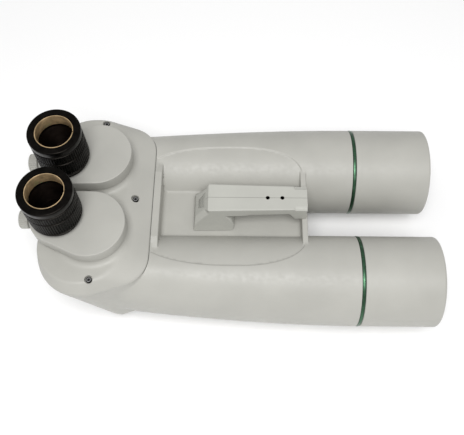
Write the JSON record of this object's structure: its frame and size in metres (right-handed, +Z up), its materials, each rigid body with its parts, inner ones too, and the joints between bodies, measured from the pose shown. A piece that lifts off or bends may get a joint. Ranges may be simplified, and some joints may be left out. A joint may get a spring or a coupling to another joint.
{
  "type": "ninety-degree binocular telescope",
  "caption": "Large-aperture binocular telescope with right-angle viewing, swinging eyepiece turrets, empty eyepiece holders, carrying handle and tripod foot.",
  "frame": {"origin": "bottom centre of the whole instrument: on the sole plane of the tripod foot, below the middle of its length", "axes": "+Y out of the objectives along the barrels, +Z up to the eyepiece holders, +X to the observer's right"},
  "size_m": [0.2046, 0.38, 0.1665],
  "materials": {
    "warm_grey_paint": "satin warm grey paint on die-cast aluminium",
    "grey_plastic": "satin",
    "dark_grey_plastic": "matte, moulded grid",
    "black_anodised": "satin black anodised",
    "black_steel": "black oxide",
    "green_anodised": "satin green anodised",
    "brass": "turned",
    "bare_aluminium": "machined",
    "steel": "machined",
    "optical_glass": "polished and coated"
  },
  "bodies": {
    "body": {"body_casting": "warm_grey_paint", "head_cover": "warm_grey_paint", "cover_screw_left": "black_steel", "cover_screw_right": "black_steel", "cover_screw_middle": "black_steel", "handle_left": "grey_plastic", "handle_right": "grey_plastic", "sight_window": "dark_grey_plastic", "handle_cross_screw_front": "black_steel", "handle_cross_screw_rear": "black_steel", "handle_foot_screw_left": "black_steel", "handle_foot_screw_right": "black_steel", "tripod_foot": "warm_grey_paint", "foot_screw_front": "black_steel", "foot_screw_rear": "black_steel", "thread_insert": "steel", "green_ring_left": "green_anodised", "dew_shield_left": "warm_grey_paint", "objective_cell_left": "black_anodised", "objective_crown_left": "optical_glass", "objective_flint_left": "optical_glass", "lens_spacer_left": "black_anodised", "retaining_ring_left": "black_anodised", "baffle_left": "black_anodised", "turning_prism_left": "optical_glass", "lifting_prism_left": "optical_glass", "prism_bracket_left": "bare_aluminium", "green_ring_right": "green_anodised", "dew_shield_right": "warm_grey_paint", "objective_cell_right": "black_anodised", "objective_crown_right": "optical_glass", "objective_flint_right": "optical_glass", "lens_spacer_right": "black_anodised", "retaining_ring_right": "black_anodised", "baffle_right": "black_anodised", "turning_prism_right": "optical_glass", "lifting_prism_right": "optical_glass", "prism_bracket_right": "bare_aluminium"},
    "turret_right": {"turret_housing_right": "warm_grey_paint", "turret_bearing_right": "bare_aluminium", "turret_gear_right": "brass", "rhomboid_prism_right": "optical_glass", "focuser_base_right": "black_anodised"},
    "focus_right": {"focus_ring_right": "black_anodised"},
    "draw_right": {"draw_tube_right": "black_anodised", "brass_ring_right": "brass"},
    "clamp_right": {"clamp_ring_right": "black_anodised"},
    "knob_right": {"lock_knob_right": "warm_grey_paint"},
    "turret_left": {"turret_housing_left": "warm_grey_paint", "turret_bearing_left": "bare_aluminium", "turret_gear_left": "brass", "rhomboid_prism_left": "optical_glass", "focuser_base_left": "black_anodised"},
    "focus_left": {"focus_ring_left": "black_anodised"},
    "draw_left": {"draw_tube_left": "black_anodised", "brass_ring_left": "brass"},
    "clamp_left": {"clamp_ring_left": "black_anodised"},
    "knob_left": {"lock_knob_left": "warm_grey_paint"}
  },
  "joints": [
    {"name": "turret_right_swing", "type": "hinge", "parent": "body", "child": "turret_right", "pos_m": [0.0355, -0.126, 0.1143], "axis": [0, 0, 1], "range_deg": [-4, 17.2]},
    {"name": "focus_right_turn", "type": "hinge", "parent": "turret_right", "child": "focus_right", "pos_m": [0.02892, -0.15404, 0.1365], "axis": [0, 0, 1], "range_deg": [0, 270]},
    {"name": "draw_right_slide", "type": "slide", "parent": "turret_right", "child": "draw_right", "axis": [0, 0, 1], "range_m": [0, 0.008]},
    {"name": "clamp_right_turn", "type": "hinge", "parent": "draw_right", "child": "clamp_right", "pos_m": [0.02892, -0.15404, 0.157], "axis": [0, 0, 1], "range_deg": [0, 120]},
    {"name": "knob_right_turn", "type": "hinge", "parent": "turret_right", "child": "knob_right", "pos_m": [0.02892, -0.184, 0.1135], "axis": [0, -1, 0], "range_deg": [0, 360]},
    {"name": "turret_left_swing", "type": "hinge", "parent": "body", "child": "turret_left", "pos_m": [-0.0355, -0.126, 0.1143], "axis": [0, 0, 1], "range_deg": [-17.2, 4]},
    {"name": "focus_left_turn", "type": "hinge", "parent": "turret_left", "child": "focus_left", "pos_m": [-0.02892, -0.15404, 0.1365], "axis": [0, 0, 1], "range_deg": [0, 270]},
    {"name": "draw_left_slide", "type": "slide", "parent": "turret_left", "child": "draw_left", "axis": [0, 0, 1], "range_m": [0, 0.008]},
    {"name": "clamp_left_turn", "type": "hinge", "parent": "draw_left", "child": "clamp_left", "pos_m": [-0.02892, -0.15404, 0.157], "axis": [0, 0, 1], "range_deg": [0, 120]},
    {"name": "knob_left_turn", "type": "hinge", "parent": "turret_left", "child": "knob_left", "pos_m": [-0.02892, -0.184, 0.1135], "axis": [0, -1, 0], "range_deg": [0, 360]}
  ],
  "couplings": [
    {"joint": "focus_right_turn", "follows": "draw_right_slide", "rad_per_m": 589},
    {"joint": "focus_left_turn", "follows": "draw_left_slide", "rad_per_m": 589},
    {"joint": "turret_left_swing", "follows": "turret_right_swing", "ratio": -1}
  ]
}
